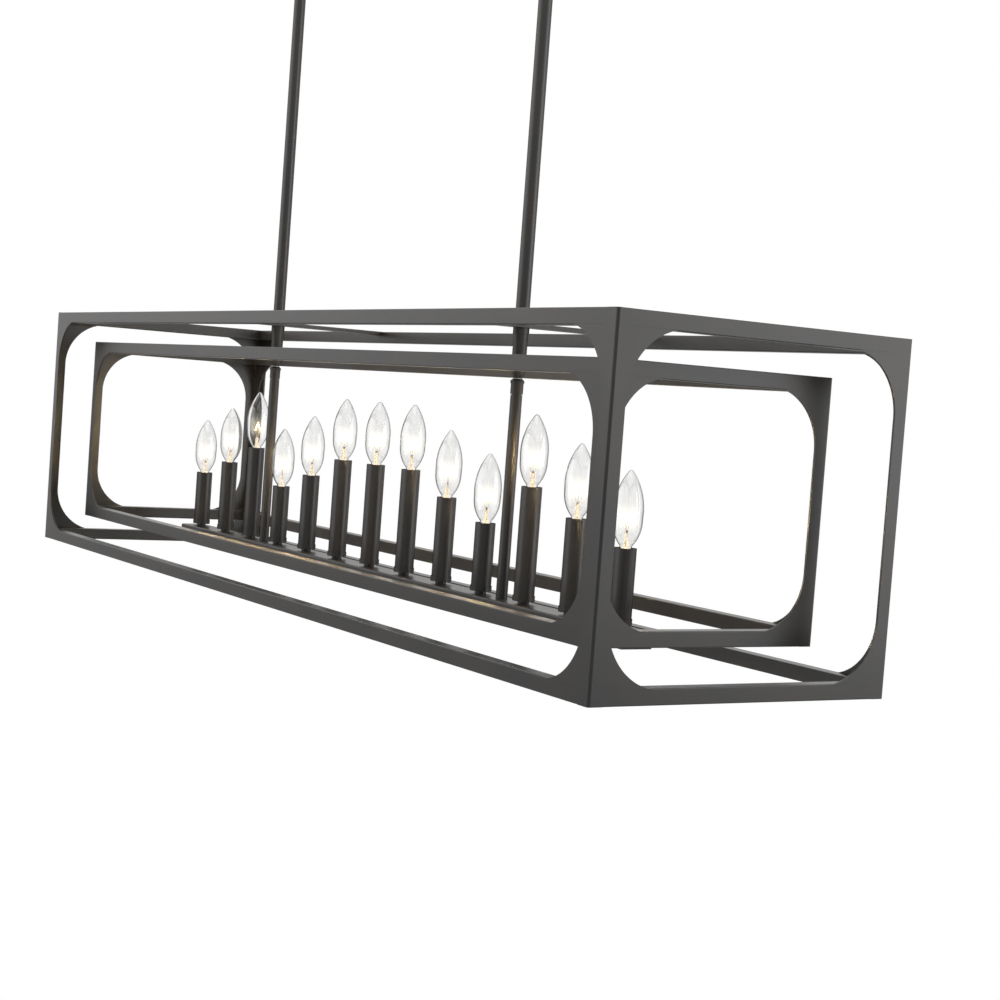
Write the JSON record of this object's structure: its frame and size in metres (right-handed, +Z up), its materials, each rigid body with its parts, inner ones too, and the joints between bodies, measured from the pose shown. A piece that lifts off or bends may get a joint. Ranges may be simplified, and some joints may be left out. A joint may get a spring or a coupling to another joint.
{
  "type": "linear island pendant",
  "caption": "Long open double box frame hung on two rods from a rectangular canopy, with a row of stepped candle lamps on a bar inside.",
  "frame": {"origin": "middle of the ceiling bracket's upper face, on the ceiling plane, between the two ceiling screws", "axes": "+X along the fixture, +Y across it, +Z up"},
  "size_m": [1.524, 0.356, 1.018],
  "materials": {
    "dark_bronze": "satin",
    "plated_steel": "satin",
    "green_screw": "satin",
    "socket_shell": "matte",
    "bulb_glass": "clear"
  },
  "bodies": {
    "ceiling_plate": {"ceiling_bracket": "plated_steel", "bracket_studs": "plated_steel", "ground_screw": "green_screw", "canopy": "dark_bronze", "cap_nuts": "dark_bronze", "swivel_socket_left": "dark_bronze", "swivel_socket_right": "dark_bronze", "swivel_lock_nuts": "plated_steel", "swivel_rings": "dark_bronze"},
    "fixture": {"swivel_ball_left": "dark_bronze", "swivel_ball_right": "dark_bronze", "upper_rod_left": "dark_bronze", "upper_rod_right": "dark_bronze", "lower_rod_left": "dark_bronze", "lower_rod_right": "dark_bronze", "threaded_pipes": "plated_steel", "outer_posts": "dark_bronze", "outer_long_rails": "dark_bronze", "outer_end_rails": "dark_bronze", "outer_corner_plates": "dark_bronze", "inner_posts": "dark_bronze", "inner_long_rails": "dark_bronze", "inner_end_rails": "dark_bronze", "inner_corner_plates": "dark_bronze", "corner_blocks": "dark_bronze", "outer_cross_bar_left": "dark_bronze", "outer_cross_bar_right": "dark_bronze", "inner_cross_bar_left": "dark_bronze", "inner_cross_bar_right": "dark_bronze", "cross_bar_collars": "dark_bronze", "spacer_tube_left": "dark_bronze", "spacer_tube_right": "dark_bronze", "cone_nuts": "dark_bronze", "stem_couplings": "dark_bronze", "stem_left": "dark_bronze", "stem_right": "dark_bronze", "light_bar": "dark_bronze", "light_bar_cover": "dark_bronze", "cover_screws": "dark_bronze", "bar_lock_nuts": "plated_steel", "candle_necks": "dark_bronze", "candle_cups": "dark_bronze", "socket_posts": "plated_steel", "lamp_sockets": "socket_shell", "short_sleeves": "dark_bronze", "medium_sleeves": "dark_bronze", "tall_sleeves": "dark_bronze"},
    "lamp_1": {"bulb_1": "bulb_glass"},
    "lamp_2": {"bulb_2": "bulb_glass"},
    "lamp_3": {"bulb_3": "bulb_glass"},
    "lamp_4": {"bulb_4": "bulb_glass"},
    "lamp_5": {"bulb_5": "bulb_glass"},
    "lamp_6": {"bulb_6": "bulb_glass"},
    "lamp_7": {"bulb_7": "bulb_glass"},
    "lamp_8": {"bulb_8": "bulb_glass"},
    "lamp_9": {"bulb_9": "bulb_glass"},
    "lamp_10": {"bulb_10": "bulb_glass"},
    "lamp_11": {"bulb_11": "bulb_glass"},
    "lamp_12": {"bulb_12": "bulb_glass"},
    "lamp_13": {"bulb_13": "bulb_glass"}
  },
  "joints": [
    {"name": "fixture_swing", "type": "hinge", "parent": "ceiling_plate", "child": "fixture", "pos_m": [0, 0, -0.037], "axis": [1, 0, 0], "range_deg": [-25, 25]},
    {"name": "lamp_1_turn", "type": "hinge", "parent": "fixture", "child": "lamp_1", "pos_m": [-0.556, 0, -0.9255], "axis": [0, 0, 1], "range_deg": [0, 1080]},
    {"name": "lamp_2_turn", "type": "hinge", "parent": "fixture", "child": "lamp_2", "pos_m": [-0.46333, 0, -0.9255], "axis": [0, 0, 1], "range_deg": [0, 1080]},
    {"name": "lamp_3_turn", "type": "hinge", "parent": "fixture", "child": "lamp_3", "pos_m": [-0.37067, 0, -0.9255], "axis": [0, 0, 1], "range_deg": [0, 1080]},
    {"name": "lamp_4_turn", "type": "hinge", "parent": "fixture", "child": "lamp_4", "pos_m": [-0.278, 0, -0.9255], "axis": [0, 0, 1], "range_deg": [0, 1080]},
    {"name": "lamp_5_turn", "type": "hinge", "parent": "fixture", "child": "lamp_5", "pos_m": [-0.18533, 0, -0.9255], "axis": [0, 0, 1], "range_deg": [0, 1080]},
    {"name": "lamp_6_turn", "type": "hinge", "parent": "fixture", "child": "lamp_6", "pos_m": [-0.09267, 0, -0.9255], "axis": [0, 0, 1], "range_deg": [0, 1080]},
    {"name": "lamp_7_turn", "type": "hinge", "parent": "fixture", "child": "lamp_7", "pos_m": [0, 0, -0.9255], "axis": [0, 0, 1], "range_deg": [0, 1080]},
    {"name": "lamp_8_turn", "type": "hinge", "parent": "fixture", "child": "lamp_8", "pos_m": [0.09267, 0, -0.9255], "axis": [0, 0, 1], "range_deg": [0, 1080]},
    {"name": "lamp_9_turn", "type": "hinge", "parent": "fixture", "child": "lamp_9", "pos_m": [0.18533, 0, -0.9255], "axis": [0, 0, 1], "range_deg": [0, 1080]},
    {"name": "lamp_10_turn", "type": "hinge", "parent": "fixture", "child": "lamp_10", "pos_m": [0.278, 0, -0.9255], "axis": [0, 0, 1], "range_deg": [0, 1080]},
    {"name": "lamp_11_turn", "type": "hinge", "parent": "fixture", "child": "lamp_11", "pos_m": [0.37067, 0, -0.9255], "axis": [0, 0, 1], "range_deg": [0, 1080]},
    {"name": "lamp_12_turn", "type": "hinge", "parent": "fixture", "child": "lamp_12", "pos_m": [0.46333, 0, -0.9255], "axis": [0, 0, 1], "range_deg": [0, 1080]},
    {"name": "lamp_13_turn", "type": "hinge", "parent": "fixture", "child": "lamp_13", "pos_m": [0.556, 0, -0.9255], "axis": [0, 0, 1], "range_deg": [0, 1080]}
  ]
}
